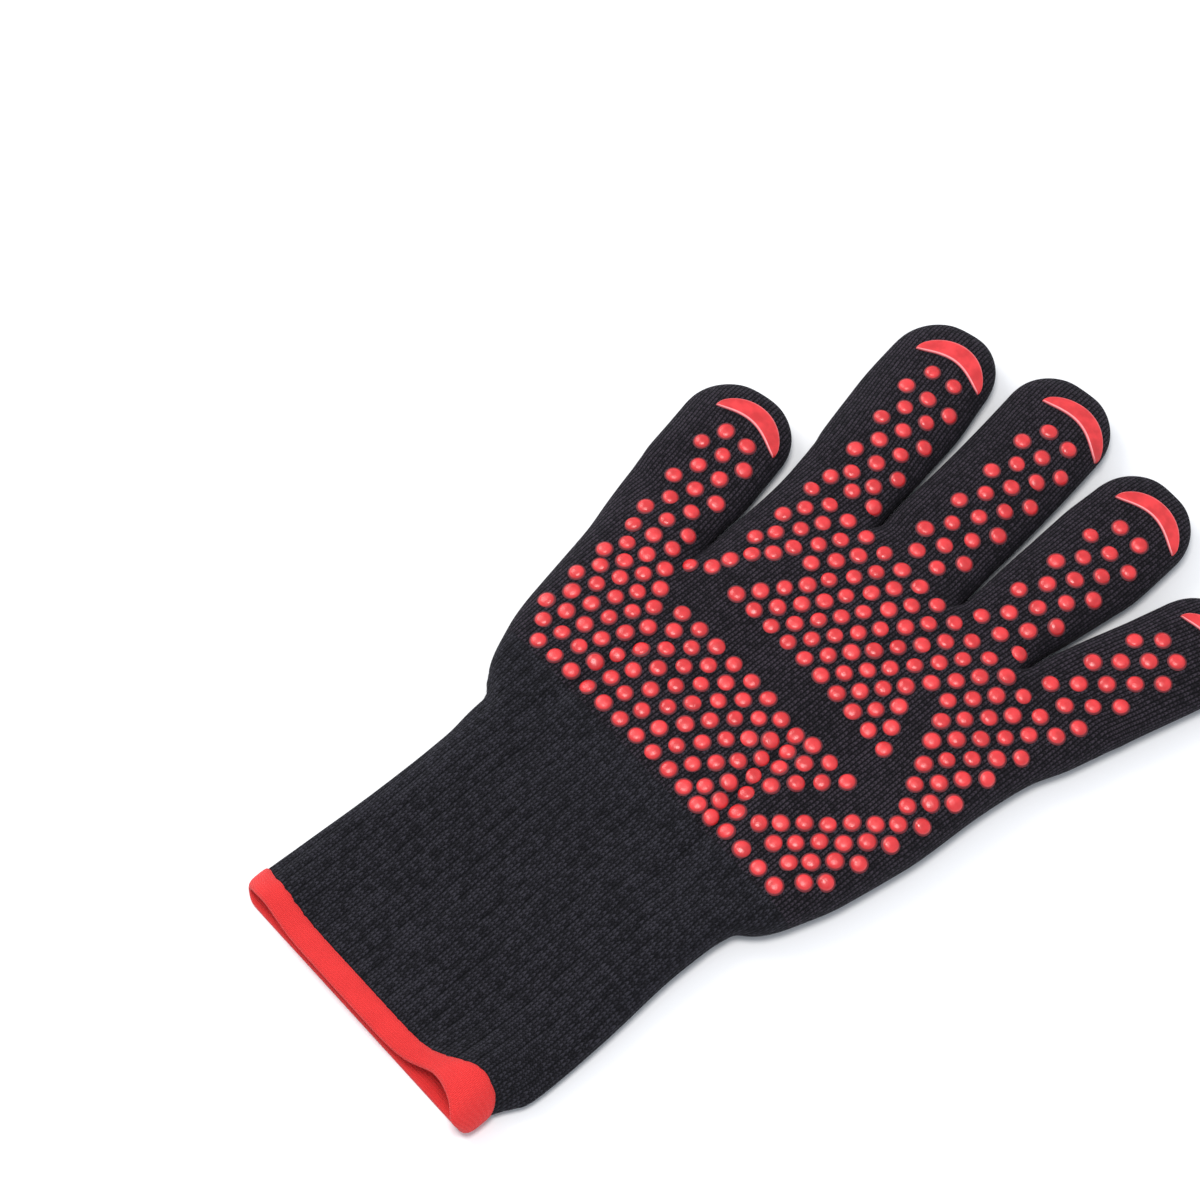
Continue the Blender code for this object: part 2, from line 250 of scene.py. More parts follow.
def finger_rows(spec, first_top, first_bottom):
    """Rows from the root's own row to the fingertip."""
    root, along, right, length = finger_frame(spec)
    body = np.arange(3.2, length - TIP_RUN, 3.6)
    tip = length - TIP_RUN + TIP_RUN * np.sin(np.linspace(0, TIP_LAST, 8)) / math.sin(TIP_LAST)
    tops, bottoms = [first_top], [first_bottom]
    root_half = (first_top[-1, 0] - first_top[0, 0]) / 2
    for s in np.concatenate([body, tip]):
        over = max(0.0, (s - (length - TIP_RUN)) / TIP_RUN)
        round_off = math.cos(math.asin(min(1.0, over * math.sin(TIP_LAST))))
        open_up = float(smooth(0, 14, s))
        wide = spec["half"] * (1 - spec["taper"] * float(smooth(0.5, 0.85, s / length)))
        half = (root_half * (1 - open_up) + wide * open_up) * round_off
        bow = 4 * spec["bow"] * (s / length) * (1 - s / length)
        centre = root + along * s + right * bow
        low, high = (reach_of(spec, side, centre, right, half) for side in (-1, 1))
        turned = centre + np.outer(np.where(ACROSS < 0, ACROSS * low, ACROSS * high), right)
        straight = first_top[:, :2] + along * s
        settle = float(smooth(0, 16, s))
        plan = straight * (1 - settle) + turned * settle
        tall = (1 - over ** 2.6) ** (1 / 2.6)
        swell = 1 + 0.05 * math.sin(s / length * math.pi)
        middle = HALF * 0.94
        section = rounded(ACROSS, 2.4 + 0.9 * (1 - smooth(8, 34, s)))
        top = middle + HALF * 1.03 * swell * tall * section
        bottom = middle - middle * (0.25 + 0.75 * tall) * rounded(ACROSS, 3.4)
        if over >= 1:
            bottom = top = np.full_like(top, middle)
        tops.append(np.column_stack([plan, top]))
        bottoms.append(np.column_stack([plan, bottom]))
    return tops, bottoms


UNDERSIDE_U = 500       # sets the underside's knit apart from the top's


class Cage:
    """Vertices, faces and knit coordinates of the glove's outer skin."""

    def __init__(self):
        self.points, self.faces = [], []
        self.uvs, self.kinds = [], []

    def add(self, point):
        self.points.append(point)
        return len(self.points) - 1

    def strip(self, tops, bottoms, top_ids, bottom_ids, groups, v_of, kind, centre_x=None):
        """Quads between rows, top and bottom, with u measured across each group from its centre."""
        for side, rows, ids in ((0, tops, top_ids), (1, bottoms, bottom_ids)):
            for g in range(groups):
                low = g * CELLS
                us = []
                for row in rows:
                    part = row[low:low + CELLS + 1]
                    steps = np.linalg.norm(np.diff(part, axis=0), axis=1)
                    arc = np.concatenate([[0], np.cumsum(steps)])
                    arc -= arc[CELLS // 2]
                    us.append((part[CELLS // 2, 0] if centre_x is None else centre_x) + arc)
                for r in range(len(rows) - 1):
                    for c in range(CELLS):
                        quad = [(r, c), (r, c + 1), (r + 1, c + 1), (r + 1, c)]
                        if side:
                            quad.reverse()
                        face = [ids[i][low + j] for i, j in quad]
                        self.faces.append(face)
                        self.uvs.append([(us[i][j] + UNDERSIDE_U * side, v_of[i]) for i, j in quad])
                        self.kinds.append(kind)


def build_cage():
    cage = Cage()

    def ids_for(tops, bottoms, joined):
        top_ids, bottom_ids = [], []
        for top, bottom, joins in zip(tops, bottoms, joined):
            t = [cage.add(p) for p in top]
            b = []
            for k, p in enumerate(bottom):
                if k in joins:
                    meet = (top[k] + p) / 2
                    cage.points[t[k]] = meet
                    b.append(t[k])
                else:
                    b.append(cage.add(p))
            top_ids.append(t)
            bottom_ids.append(b)
        return top_ids, bottom_ids

    lower_y = np.concatenate([np.arange(MOUTH_Y, -31, 4.15), np.arange(-30, -8, 1.6),
                              np.arange(-7.5, 44, 3.8), np.linspace(45.5, CROTCH_Y, 7)])
    upper_y = np.concatenate([np.linspace(CROTCH_Y, 96, 9), np.linspace(99, WEB_Y, 6)])
    rows = [palm_row(y) for y in lower_y]
    tops, bottoms = [r[0] for r in rows], [r[1] for r in rows]
    last = 5 * CELLS
    joined = [{0, last}] * (len(rows) - 1) + [{0, CELLS, last}]
    top_ids, bottom_ids = ids_for(tops, bottoms, joined)
    cage.strip(tops, bottoms, top_ids, bottom_ids, 5, lower_y, HAND)

    upper = [palm_row(y) for y in upper_y[1:]]
    upper_tops = [tops[-1][CELLS:]] + [r[0] for r in upper]
    upper_bottoms = [bottoms[-1][CELLS:]] + [r[1] for r in upper]
    last = 4 * CELLS
    joined = [{0, last}] * (len(upper) - 1) + [{0, CELLS, 2 * CELLS, 3 * CELLS, last}]
    more_top, more_bottom = ids_for(upper_tops[1:], upper_bottoms[1:], joined)
    up_top = [top_ids[-1][CELLS:]] + more_top
    up_bottom = [bottom_ids[-1][CELLS:]] + more_bottom
    cage.strip(upper_tops, upper_bottoms, up_top, up_bottom, 4, upper_y, HAND)

    for g, spec in enumerate(FINGERS):
        if g == 0:
            first = tops[-1][:CELLS + 1], bottoms[-1][:CELLS + 1]
            first_ids = top_ids[-1][:CELLS + 1], bottom_ids[-1][:CELLS + 1]
        else:
            low = (g - 1) * CELLS
            first = upper_tops[-1][low:low + CELLS + 1], upper_bottoms[-1][low:low + CELLS + 1]
            first_ids = up_top[-1][low:low + CELLS + 1], up_bottom[-1][low:low + CELLS + 1]
        f_tops, f_bottoms = finger_rows(spec, *first)
        joined = [{0, CELLS}] * (len(f_tops) - 2) + [set(range(CELLS + 1))]
        f_top, f_bottom = ids_for(f_tops[1:], f_bottoms[1:], joined)
        centre = f_tops[0][CELLS // 2, 0]
        lengths = [0.0]
        for a, b in zip(f_tops, f_tops[1:]):
            lengths.append(lengths[-1] + np.linalg.norm(b[CELLS // 2] - a[CELLS // 2]))
        v = spec["root"][1] + np.array(lengths)
        cage.strip(f_tops, f_bottoms, [first_ids[0]] + f_top, [first_ids[1]] + f_bottom, 1, v, g, centre)
    return cage


def object_from(name, points, faces):
    mesh = bpy.data.meshes.new(name)
    mesh.from_pydata([tuple(p) for p in points], [], faces)
    obj = bpy.data.objects.new(name, mesh)
    bpy.context.scene.collection.objects.link(obj)
    return obj


def applied(obj):
    """Replaces the object's mesh with its evaluated one, with no modifiers left."""
    graph = bpy.context.evaluated_depsgraph_get()
    mesh = bpy.data.meshes.new_from_object(obj.evaluated_get(graph), preserve_all_data_layers=True,
                                           depsgraph=graph)
    obj.modifiers.clear()
    obj.data = mesh


def read_mesh(mesh):
    """Points, normals, quads, knit coordinates and kinds, as arrays."""
    points = np.empty(len(mesh.vertices) * 3)
    mesh.vertices.foreach_get("co", points)
    normals = np.empty(len(mesh.vertices) * 3)
    mesh.vertices.foreach_get("normal", normals)
    loops = np.empty(len(mesh.loops), int)
    mesh.loops.foreach_get("vertex_index", loops)
    uv = np.empty(len(mesh.loops) * 2)
    mesh.uv_layers["knit"].data.foreach_get("uv", uv)
    kinds = np.empty(len(mesh.polygons), int)
    mesh.polygons.foreach_get("material_index", kinds)
    return (points.reshape(-1, 3), normals.reshape(-1, 3), loops.reshape(-1, 4), uv.reshape(-1, 4, 2), kinds)


def valley(points, start, end, width, depth):
    """A soft groove along a line in the plan."""
    a, b = np.array(start, float), np.array(end, float)
    rel = points[:, :2] - a
    along = b - a
    t = np.clip(rel @ along / (along @ along), 0, 1)
    gap = np.linalg.norm(rel - t[:, None] * along, axis=1)
    fade = np.sin(np.clip(t, 0, 1) * math.pi) ** 0.5
    return -depth * np.exp(-((gap / width) ** 2)) * (0.25 + 0.75 * fade)


def wave_field(points, seed, size):
    """A smooth random-looking field from a few fixed waves."""
    rng = np.random.default_rng(seed)
    total = np.zeros(len(points))
    for _ in range(9):
        angle = rng.uniform(0, 2 * math.pi)
        length = size * rng.uniform(0.7, 1.6)
        phase = rng.uniform(0, 2 * math.pi)
        across = points[:, 0] * math.cos(angle) + points[:, 1] * math.sin(angle)
        total += np.sin(across * 2 * math.pi / length + phase)
    return total / 3


# The slack knit: how much longer the cloth is than the shape it lies on, the share of its movement that is
# kept, and the most that a point may move up or down. The underside and the mouth's end of the cuff are held.
EXTRA_CLOTH = 0.02
SETTLING_SHARE = 0.4
MOST_SETTLING = 0.9
HELD_BELOW_Z = 5.5
FREE_ABOVE_Z = 9.5
HELD_PAST_Y = -104
SETTLING_FRAMES = 10
CLOTH_SCALE = 0.01      # the cloth settles at ten times its size, which suits the solver's steps


def settled(points, faces):
    """The cage's points after the slack knit has settled as cloth, moved up or down only."""
    obj = object_from("slack_knit", points * CLOTH_SCALE, faces)
    held = obj.vertex_groups.new(name="held")
    fixed = (points[:, 2] < HELD_BELOW_Z) | (points[:, 1] < HELD_PAST_Y)
    held.add(np.flatnonzero(fixed).tolist(), 1.0, "REPLACE")
    cloth = obj.modifiers.new("cloth", "CLOTH")
    cloth.settings.quality = 5
    cloth.settings.mass = 0.3
    cloth.settings.tension_stiffness = cloth.settings.compression_stiffness = 25
    cloth.settings.shear_stiffness = 8
    cloth.settings.bending_stiffness = 10
    cloth.settings.shrink_min = -EXTRA_CLOTH
    cloth.settings.vertex_group_mass = "held"
    cloth.settings.use_pressure = True
    cloth.settings.uniform_pressure_force = 0.2
    cloth.settings.effector_weights.gravity = 0
    cloth.collision_settings.use_collision = False
    cloth.point_cache.frame_start = 1
    cloth.point_cache.frame_end = SETTLING_FRAMES
    for frame_number in range(1, SETTLING_FRAMES + 1):
        bpy.context.scene.frame_set(frame_number)
    mesh = obj.evaluated_get(bpy.context.evaluated_depsgraph_get()).data
    moved = np.empty(len(mesh.vertices) * 3)
    mesh.vertices.foreach_get("co", moved)
    change = moved.reshape(-1, 3)[:, 2] / CLOTH_SCALE - points[:, 2]
    bpy.context.scene.frame_set(1)
    bpy.data.objects.remove(obj)
    change = (change - np.median(change[~fixed])) * SETTLING_SHARE
    change = MOST_SETTLING * np.tanh(change / MOST_SETTLING)
    change = change * smooth(HELD_BELOW_Z, FREE_ABOVE_Z, points[:, 2]) * ~fixed
    return points + np.outer(change, (0, 0, 1))


# ---------------------------------------------------------------- the outer skin
LOWEST_SKIN_Z = 0.15
cage = build_cage()
skin = object_from("skin_cage", settled(np.array(cage.points), cage.faces), cage.faces)
layer = skin.data.uv_layers.new(name="knit")
layer.data.foreach_set("uv", np.array(cage.uvs).ravel())
for _ in range(HAND + 1):
    skin.data.materials.append(None)
skin.data.polygons.foreach_set("material_index", np.array(cage.kinds, np.int32))
skin.data.polygons.foreach_set("use_smooth", [True] * len(cage.faces))
sub = skin.modifiers.new("subdivide", "SUBSURF")
sub.levels = sub.render_levels = 2
applied(skin)
points, normals, quads, uvs, kinds = read_mesh(skin.data)

on_top = smooth(6.5, 11, points[:, 2])
shaped = points.copy()
lift = valley(points, (38, -34), (27, 34), 4.2, 2.0) + valley(points, (-34, -24), (-28, 26), 3.0, 1.3)
lift += valley(points, (-46, 66), (-42, 46), 3.5, 1.0)
lift += 0.45 * wave_field(points, 7, 34)
shaped[:, 2] += lift * on_top
cuff_mask = smooth(-17, -25, points[:, 1])
groove = np.abs(((points[:, 0] + RIB_SHIFT) / RIB) % 1 - 0.5) * 2
ribbing = -0.42 * smooth(0.62, 1.0, groove) + 0.12 * np.cos((points[:, 0] + RIB_SHIFT) / RIB * 4 * math.pi)
shaped += normals * (ribbing * cuff_mask)[:, None]
shaped[:, 2] = np.maximum(shaped[:, 2], LOWEST_SKIN_Z)
points = mouth_shaped(shaped)


def split_piece(name, faces_in):
    """One skin piece from the faces given, with its knit coordinates."""
    index = np.flatnonzero(faces_in)
    used, local = np.unique(quads[index], return_inverse=True)
    obj = object_from(name, points[used] * MM, local.reshape(-1, 4).tolist())
    layer = obj.data.uv_layers.new(name="knit")
    layer.data.foreach_set("uv", uvs[index].ravel())
    obj.data.polygons.foreach_set("use_smooth", [True] * len(index))
    return obj


centres = points[quads].mean(axis=1)
JOINTS = {j["name"]: j for j in frame["joints"]}


def fold_y(joint):
    return JOINTS[joint]["pos_m"][1] / MM


WRIST_TOP_Y, WRIST_LOW_Y = -8, -36      # the piece across the wrist, between palm and cuff
FINGER_BEND_REACH = 6.3                 # how far a bend along a finger spreads each way
FAR = 1e9
# The skin's pieces: name, face mask, bodies, where the bend starts and ends in y, and the CAD names that they
# stand for, without _shell or _liner.
pieces = []
hand = kinds == HAND
in_wrist = hand & (centres[:, 1] < WRIST_TOP_Y) & (centres[:, 1] > WRIST_LOW_Y)
pieces.append(("palm_skin", hand & (centres[:, 1] >= WRIST_TOP_Y), ("palm",), None, None, ["palm"]))
pieces.append(("wrist_skin", in_wrist, ("palm", "cuff"), -9.5, -34.0, []))
pieces.append(("cuff_skin", hand & (centres[:, 1] <= WRIST_LOW_Y), ("cuff",), None, None, ["cuff"]))
for g, spec in enumerate(FINGERS):
    name = spec["name"]
    segments = ("base", "tip") if g == 0 else ("base", "middle", "tip")
    folds = [fold_y(f"{name}_{s}_fold") for s in segments[1:]]
    ramps = [KNUCKLE_SPREAD[name]] + [(y - FINGER_BEND_REACH, y + FINGER_BEND_REACH) for y in folds]
    borders = [-FAR] + [(a[1] + b[0]) / 2 for a, b in zip(ramps, ramps[1:])] + [FAR]
    chain = ["palm"] + [f"{name}_{s}" for s in segments]
    for k, segment in enumerate(segments):
        mask = (kinds == g) & (centres[:, 1] > borders[k]) & (centres[:, 1] <= borders[k + 1])
        own = f"{name}_{segment}"
        pieces.append((own + "_skin", mask, (chain[k], chain[k + 1]), *ramps[k], [own]))


# ---------------------------------------------------------------- materials
class Nodes:
    """Short helpers for building a material's node tree."""

    def __init__(self, name):
        self.material = bpy.data.materials.new(name)
        self.material.use_nodes = True
        self.tree = self.material.node_tree
        self.tree.nodes.clear()
        self.out = self.tree.nodes.new("ShaderNodeOutputMaterial")
        self.shader = self.tree.nodes.new("ShaderNodeBsdfPrincipled")
        self.tree.links.new(self.shader.outputs[0], self.out.inputs[0])

    def link(self, value, socket):
        if isinstance(value, bpy.types.NodeSocket):
            self.tree.links.new(value, socket)
        else:
            socket.default_value = value

    def math(self, operation, a, b=0.0, c=0.0, clamp=False):
        node = self.tree.nodes.new("ShaderNodeMath")
        node.operation = operation
        node.use_clamp = clamp
        for value, socket in zip((a, b, c), node.inputs):
            self.link(value, socket)
        return node.outputs[0]

    def mix(self, factor, a, b):
        node = self.tree.nodes.new("ShaderNodeMix")
        node.data_type = "RGBA"
        self.link(factor, node.inputs[0])
        self.link(a, node.inputs[6])
        self.link(b, node.inputs[7])
        return node.outputs[2]

    def noise(self, vector, scale, detail=2.0, rough=0.5):
        node = self.tree.nodes.new("ShaderNodeTexNoise")
        self.link(vector, node.inputs["Vector"])
        node.inputs["Scale"].default_value = scale
        node.inputs["Detail"].default_value = detail
        node.inputs["Roughness"].default_value = rough
        return node.outputs[0]

    def smoothstep(self, value, low, high, to_low=0.0, to_high=1.0):
        node = self.tree.nodes.new("ShaderNodeMapRange")
        node.interpolation_type = "SMOOTHSTEP"
        self.link(value, node.inputs[0])
        for k, number in enumerate((low, high, to_low, to_high)):
            node.inputs[k + 1].default_value = number
        return node.outputs[0]

    def bump(self, height, strength, distance, normal=None):
        node = self.tree.nodes.new("ShaderNodeBump")
        node.inputs["Strength"].default_value = strength
        node.inputs["Distance"].default_value = distance
        self.link(height, node.inputs["Height"])
        if normal is not None:
            self.link(normal, node.inputs["Normal"])
        return node.outputs[0]

    def coords(self, uv_name=None):
        if uv_name:
            node = self.tree.nodes.new("ShaderNodeUVMap")
            node.uv_map = uv_name
            return node.outputs[0]
        return self.tree.nodes.new("ShaderNodeTexCoord").outputs["Object"]

    def split(self, vector):
        node = self.tree.nodes.new("ShaderNodeSeparateXYZ")
        self.link(vector, node.inputs[0])
        return node.outputs[0], node.outputs[1]

    def join(self, x, y, z=0.0):
        node = self.tree.nodes.new("ShaderNodeCombineXYZ")
        for value, socket in zip((x, y, z), node.inputs):
            self.link(value, socket)
        return node.outputs[0]

    def from_middle(self, column):
        """0 in the middle of each column and 1 at its edges."""
        gap = self.math("ABSOLUTE", self.math("SUBTRACT", self.math("FRACT", column), 0.5))
        return self.math("MULTIPLY", gap, 2.0)

    def arch(self, value):
        """A half sine over each whole step of value."""
        return self.math("SINE", self.math("MULTIPLY", self.math("FRACT", value), math.pi))

    def attribute(self, name):
        node = self.tree.nodes.new("ShaderNodeAttribute")
        node.attribute_name = name
        return node.outputs["Fac"]

    def white(self, vector):
        node = self.tree.nodes.new("ShaderNodeTexWhiteNoise")
        node.noise_dimensions = "2D"
        self.link(vector, node.inputs["Vector"])
        return node.outputs[0]


def knit_material(name, wale, course, dark, light, ribbed, bump_mm):
    """Plain knit seen from its face: columns of small V stitches, with fuzz, uneven dye and painted shade,
    dark in the valleys between the stitches and in the rib's grooves.
    """
    n = Nodes(name)
    uv = n.coords("knit")
    u, v = n.split(uv)
    wander = n.noise(uv, 0.09, 3.0)
    u = n.math("ADD", u, n.math("MULTIPLY", n.math("SUBTRACT", wander, 0.5), 1.1))
    column = n.math("DIVIDE", u, wale)
    from_middle = n.from_middle(column)
    uneven = n.math("MULTIPLY", n.noise(uv, 0.35, 3.0), 1.8)
    row = n.math("ADD", n.math("DIVIDE", v, course), n.math("MULTIPLY", from_middle, 0.6))
    row = n.math("ADD", row, uneven)
    loop = n.arch(row)
    floor_level = 0.35 if ribbed else 0.0
    ridge = n.smoothstep(from_middle, 0.35, 1.0, 1.0, floor_level)
    stitch = n.math("MULTIPLY", ridge, n.math("ADD", 0.25, n.math("MULTIPLY", loop, 0.75)))
    random = n.white(n.join(n.math("FLOOR", column), n.math("FLOOR", row)))
    fuzz = n.noise(uv, 2.6, 4.0, 0.7)
    cloud = n.noise(uv, 0.035, 3.0)
    height = n.math("ADD", stitch, n.math("MULTIPLY", fuzz, 0.3))
    dyed = n.math("ADD", 0.35, n.math("MULTIPLY", random, 1.2))
    # Painted shade and highlight: the colour follows the stitches' height, dark in their valleys and light on
    # their tops; dye, fuzz and cloud vary it at random.
    level = n.math("MULTIPLY", n.math("POWER", stitch, 1.6), dyed)
    level = n.math("MULTIPLY", level, n.math("ADD", 0.4, n.math("MULTIPLY", fuzz, 1.2)))
    level = n.math("MULTIPLY", level, n.math("ADD", 0.55, n.math("MULTIPLY", cloud, 0.9)))
    if ribbed:
        rib = n.from_middle(n.math("DIVIDE", n.math("ADD", u, RIB_SHIFT), RIB))
        in_groove = n.smoothstep(rib, 0.7, 1.0)
        height = n.math("SUBTRACT", height, n.math("MULTIPLY", in_groove, 0.6))
        # Painted shade in the rib's grooves.
        level = n.math("MULTIPLY", level, n.math("SUBTRACT", 1.0, n.math("MULTIPLY", in_groove, 0.45)))
    speck = n.smoothstep(n.noise(uv, 0.8, 5.0, 0.75), 0.745, 0.765)
    yarn_with_painted_shade = n.mix(n.math("MINIMUM", level, 1.0), dark, light)
    n.link(n.mix(n.math("MULTIPLY", speck, 0.5), yarn_with_painted_shade, (0.30, 0.30, 0.32, 1)), n.shader.inputs["Base Color"])
    n.shader.inputs["Roughness"].default_value = 0.88
    n.shader.inputs["Specular IOR Level"].default_value = 0.14
    n.shader.inputs["Sheen Weight"].default_value = 0.03
    n.shader.inputs["Sheen Roughness"].default_value = 0.45
    n.shader.inputs["Sheen Tint"].default_value = (0.80, 0.82, 1.0, 1.0)
    n.link(n.bump(height, 0.9, bump_mm * MM), n.shader.inputs["Normal"])
    return n.material


# The dark colour is the painted shade of the stitches' valleys, the light one their tops; the dye varies
# between them at random.
KNIT_DARK = (0.0016, 0.0014, 0.0022, 1)
KNIT_LIGHT = (0.041, 0.032, 0.043, 1)
RIB_LIGHT = (0.032, 0.030, 0.039, 1)
jersey = knit_material("jersey_knit", 1.42, 1.3, KNIT_DARK, KNIT_LIGHT, False, 0.6)
rib_knit = knit_material("rib_knit", 1.25, 1.6, KNIT_DARK, RIB_LIGHT, True, 0.6)


def silicone_material():
    """Glossy printed silicone, with a dark edge of painted shade round a dot and a bright edge of painted
    highlight round a crescent.
    """
    n = Nodes("grip_silicone")
    position = n.coords()
    painted_shade_rim = n.attribute("painted_shade_rim")
    tone = n.noise(position, 210.0, 3.0)
    red = n.mix(n.smoothstep(tone, 0.3, 0.7), (0.56, 0.013, 0.016, 1), (0.76, 0.027, 0.032, 1))
    # Painted highlight: a crescent's bright edge band. Painted shade: the dark edge at the base of each dot
    # and crescent.
    red = n.mix(n.attribute("lip"), red, (1.0, 0.34, 0.36, 1))
    n.link(n.mix(n.smoothstep(painted_shade_rim, 0.1, 0.9), red, (0.13, 0.004, 0.010, 1)), n.shader.inputs["Base Color"])
    grain = n.noise(position, 800.0, 3.0)
    n.link(n.bump(grain, 0.5, 0.25 * MM), n.shader.inputs["Normal"])
    gloss = n.smoothstep(tone, 0.3, 0.7, 0.28, 0.40)
    n.link(n.math("ADD", gloss, n.math("MULTIPLY", painted_shade_rim, 0.5)), n.shader.inputs["Roughness"])
    n.shader.inputs["Specular IOR Level"].default_value = 0.75
    n.shader.inputs["Subsurface Weight"].default_value = 0.12
    n.shader.inputs["Subsurface Radius"].default_value = (0.0012, 0.0003, 0.0003)
    n.shader.inputs["Subsurface Scale"].default_value = 1.0
    return n.material


silicone = silicone_material()


def hem_material():
    """Fine red knit of the binding."""
    n = Nodes("hem_knit")
    uv = n.coords("knit")
    u, v = n.split(uv)
    from_middle = n.from_middle(u)
    row = n.math("ADD", n.math("DIVIDE", v, 0.9), n.math("MULTIPLY", from_middle, 0.6))
    loop = n.arch(row)
    leg = n.math("SINE", n.math("MULTIPLY", from_middle, math.pi))
    stitch = n.math("MULTIPLY", leg, loop)
    cloud = n.noise(uv, 0.12, 3.0)
    # Painted shade: the colour is dark in the valleys between the stitches and light on their loops; the
    # cloud varies it at random.
    level = n.math("ADD", n.math("MULTIPLY", stitch, 0.55), n.math("MULTIPLY", cloud, 0.5), clamp=True)
    n.link(n.mix(level, (0.60, 0.010, 0.011, 1), (1.0, 0.036, 0.033, 1)), n.shader.inputs["Base Color"])
    n.shader.inputs["Roughness"].default_value = 0.78
    n.shader.inputs["Sheen Weight"].default_value = 0.12
    n.shader.inputs["Sheen Roughness"].default_value = 0.4
    n.shader.inputs["Sheen Tint"].default_value = (1.0, 0.7, 0.7, 1.0)
    n.link(n.bump(stitch, 0.8, 0.3 * MM), n.shader.inputs["Normal"])
    return n.material


hem_red = hem_material()


def lining_material():
    """Matt dark cotton knit, seen only in the mouth's shade."""
    n = Nodes("cotton_lining")
    uv = n.coords("knit")
    u, v = n.split(uv)
    stitch = n.math("MULTIPLY", n.arch(n.math("DIVIDE", u, 1.3)), n.arch(n.math("DIVIDE", v, 1.1)))
    fuzz = n.noise(uv, 2.0, 4.0)
    # Painted shade: the colour is darker in the valleys between the stitches; the fuzz varies it at random.
    level = n.math("MULTIPLY", n.math("ADD", stitch, fuzz), 0.5, clamp=True)
    n.link(n.mix(level, (0.010, 0.010, 0.013, 1), (0.05, 0.05, 0.06, 1)), n.shader.inputs["Base Color"])
    n.shader.inputs["Roughness"].default_value = 0.95
    n.link(n.bump(stitch, 0.7, 0.4 * MM), n.shader.inputs["Normal"])
    return n.material


lining = lining_material()

# ---------------------------------------------------------------- grip dots
# The palm's print: each field has a pitch and rows of (y, x of the row's middle, count). Most of these rows
# hold values measured on the photograph.
DOT_RADIUS = 3.2
DOT_HEIGHT = 1.15
FIELDS = {
    "upper": (8.15, ((102.6, 23.0, 15), (95.5, 22.2, 14), (88.6, 22.6, 15), (81.8, 22.1, 14))),
    "taper": (7.9, ((75.3, 14.3, 7), (69.0, 14.1, 8), (62.5, 13.9, 9), (56.1, 13.6, 10))),
    "heel": (8.2, ((38.0, 12.5, 11), (31.5, 11.6, 10), (25.2, 10.8, 9), (18.5, 10.3, 8), (11.6, 10.3, 7),
                   (4.6, 9.9, 8))),
    "wrist": (7.75, ((-2.5, 6.4, 16),)),
    "web": (8.8, ((74.7, -29.9, 2), (69.2, -30.1, 1), (62.6, -33.2, 1), (56.5, -35.2, 1))),
    "thumb_side": (7.7, ((51.9, -52.4, 4), (44.5, -52.1, 3), (38.2, -51.4, 4), (32.0, -47.6, 4),
                         (25.6, -47.0, 5), (18.7, -42.7, 5), (11.6, -42.3, 6), (4.7, -41.2, 5))),
    "outer_edge": (7.9, ((72.5, 66.2, 4), (65.7, 65.4, 3), (58.8, 69.4, 3), (52.4, 68.6, 2), (45.8, 72.4, 2),
                         (39.6, 71.1, 1), (33.7, 70.6, 2), (28.0, 65.3, 2), (21.6, 64.8, 3), (15.9, 59.4, 3),
                         (9.5, 58.7, 4), (3.8, 54.4, 4))),
}
# On each finger: the first row's distance from the root, pitch, rows, dots in the first row, the print's
# sideways shift at the root and at the tip, how far it bows between them, the rows' slope, and the extra
# distance of the first and the last row. Rows take two and three dots by turns.
FINGER_PRINT = {
    "thumb": (-8.1, 7.87, 6, 3, 4.0, 4.6, 0.0, -0.03, 0.0, 0.0),
    "index": (-3.7, 7.75, 8, 3, 2.5, 2.3, 1.5, -0.04, 2.0, 2.2),
    "middle": (-0.4, 7.95, 9, 2, 2.9, 5.7, 2.4, -0.065, 0.0, 1.2),
    "ring": (-1.6, 8.1, 8, 3, 2.4, 2.4, 1.75, 0.0, 0.5, 1.3),
    "little": (-3.4, 7.95, 6, 3, 0.8, -1.6, 0.0, 0.0, 0.0, 0.0),
}
FINGER_ROW_PITCH = 8.8


def field_dot(field, x, y):
    """Where stretch and folds carry a dot of the regular print."""
    if field == "upper":
        y -= 0.00077 * (x - 8) ** 2
        x += 0.03 * (x - 22) * smooth(86, 104, y)
    elif field == "taper":
        y -= 0.0012 * (x - 4) ** 2
    elif field == "thumb_side" and x < -37:
        y -= 0.0062 * (x + 37) ** 2
    elif field == "outer_edge":
        y -= 0.11 * (x - 66)
    elif field in ("heel", "wrist"):
        deep = 2.9 if field == "heel" else 1.2
        y -= deep * math.exp(-(((x - 25) / 8) ** 2)) + 0.0004 * (x - 5) ** 2
        x -= 3.5 * float(smooth(22, 40, x))
    return x, y


def dot_centres():
    """(x, y) of every dot, field by field and then finger by finger."""
    found = []
    for field, (pitch, rows) in FIELDS.items():
        for y, middle, count in rows:
            for k in range(count):
                found.append(field_dot(field, middle + (k - (count - 1) / 2) * pitch, y))
    for spec in FINGERS:
        (start, pitch, rows, first_count, shift_root, shift_tip, bow, slope,
         first, last) = FINGER_PRINT[spec["name"]]
        root, along, right, length = finger_frame(spec)
        for r in range(rows):
            s = start + r * pitch + {0: first, rows - 1: last}.get(r, 0.0)
            t = s / length
            count = first_count if r % 2 == 0 else 5 - first_count
            shift = shift_root + (shift_tip - shift_root) * t + 4 * bow * t * (1 - t)
            for k in range(count):
                aside = shift + (k - (count - 1) / 2) * FINGER_ROW_PITCH
                found.append(tuple(root + along * (s + slope * aside) + right * aside))
    return found


surface = BVHTree.FromPolygons([tuple(p) for p in points], quads.tolist())
piece_of_face = np.full(len(quads), -1)
for k, piece in enumerate(pieces):
    piece_of_face[piece[1]] = k


